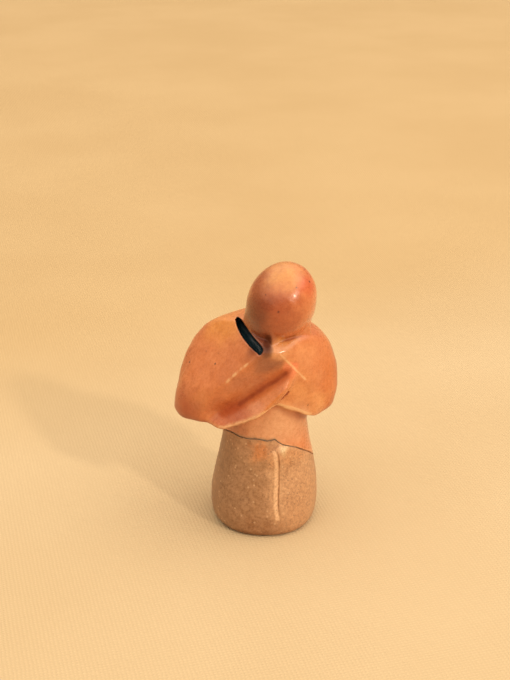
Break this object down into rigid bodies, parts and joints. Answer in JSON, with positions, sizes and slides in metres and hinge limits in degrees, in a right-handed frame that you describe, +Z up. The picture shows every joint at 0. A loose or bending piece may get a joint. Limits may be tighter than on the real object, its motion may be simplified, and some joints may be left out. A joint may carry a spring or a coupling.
{
  "type": "carved figurine",
  "caption": "Small carved soapstone person with a blank bowed egg-shaped head, crossed forearms and a rounded column base that stands on its flat underside.",
  "frame": {"origin": "middle of the flat resting face under the base", "axes": "+Z up from the base to the head, -Y the figure's front with the incised line, +X to the side the head leans to"},
  "size_m": [0.0441, 0.033, 0.0757],
  "materials": {
    "upper_stone": "hand-polished orange-pink soapstone",
    "lower_stone": "hand-polished grey-brown speckled soapstone",
    "waist_seam": "dull dark grey mineral seam"
  },
  "bodies": {
    "root": {"upper_stone": "upper_stone", "lower_stone": "lower_stone", "waist_seam": "waist_seam"}
  },
  "joints": []
}
